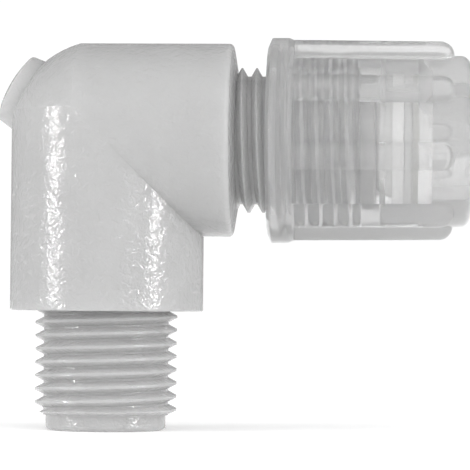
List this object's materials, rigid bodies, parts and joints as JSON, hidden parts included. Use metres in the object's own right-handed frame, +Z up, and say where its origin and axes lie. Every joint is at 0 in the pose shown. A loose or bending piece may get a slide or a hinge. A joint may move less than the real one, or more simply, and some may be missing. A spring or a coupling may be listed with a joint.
{
  "type": "male elbow tube fitting",
  "caption": "Right-angle plastic tube fitting: round elbow with a male pipe thread below a flat shoulder, and a ribbed union nut over clamp rings on the tube port.",
  "frame": {"origin": "where the pipe thread's axis meets the flat shoulder that seats on the ported part", "axes": "+Z up along the pipe-thread leg, away from the ported part; +X out of the tube port; Y across, the plane Y = 0 halves the body"},
  "size_m": [0.0323, 0.014, 0.0269],
  "materials": {
    "moulded_body": "natural translucent polymer, satin, fine orange peel",
    "moulded_nut": "natural translucent polymer, satin, rings inside show through",
    "ring_plastic": "natural white polymer, turned",
    "grip_plastic": "harder natural polymer, turned"
  },
  "bodies": {
    "elbow": {"elbow_body": "moulded_body"},
    "clamp_rings": {"sealing_ferrule": "ring_plastic", "spacer_washer": "ring_plastic", "grip_ring": "grip_plastic", "thrust_ring": "ring_plastic"},
    "nut": {"union_nut": "moulded_nut"}
  },
  "joints": [
    {"name": "nut_advance", "type": "slide", "parent": "elbow", "child": "clamp_rings", "axis": [-1, 0, 0], "range_m": [-0.005, 0.001]},
    {"name": "nut_turn", "type": "hinge", "parent": "clamp_rings", "child": "nut", "pos_m": [0.0179, 0, 0.01175], "axis": [-1, 0, 0], "range_deg": [-1800, 360]}
  ],
  "couplings": [
    {"joint": "nut_turn", "follows": "nut_advance", "rad_per_m": 6283.2}
  ]
}
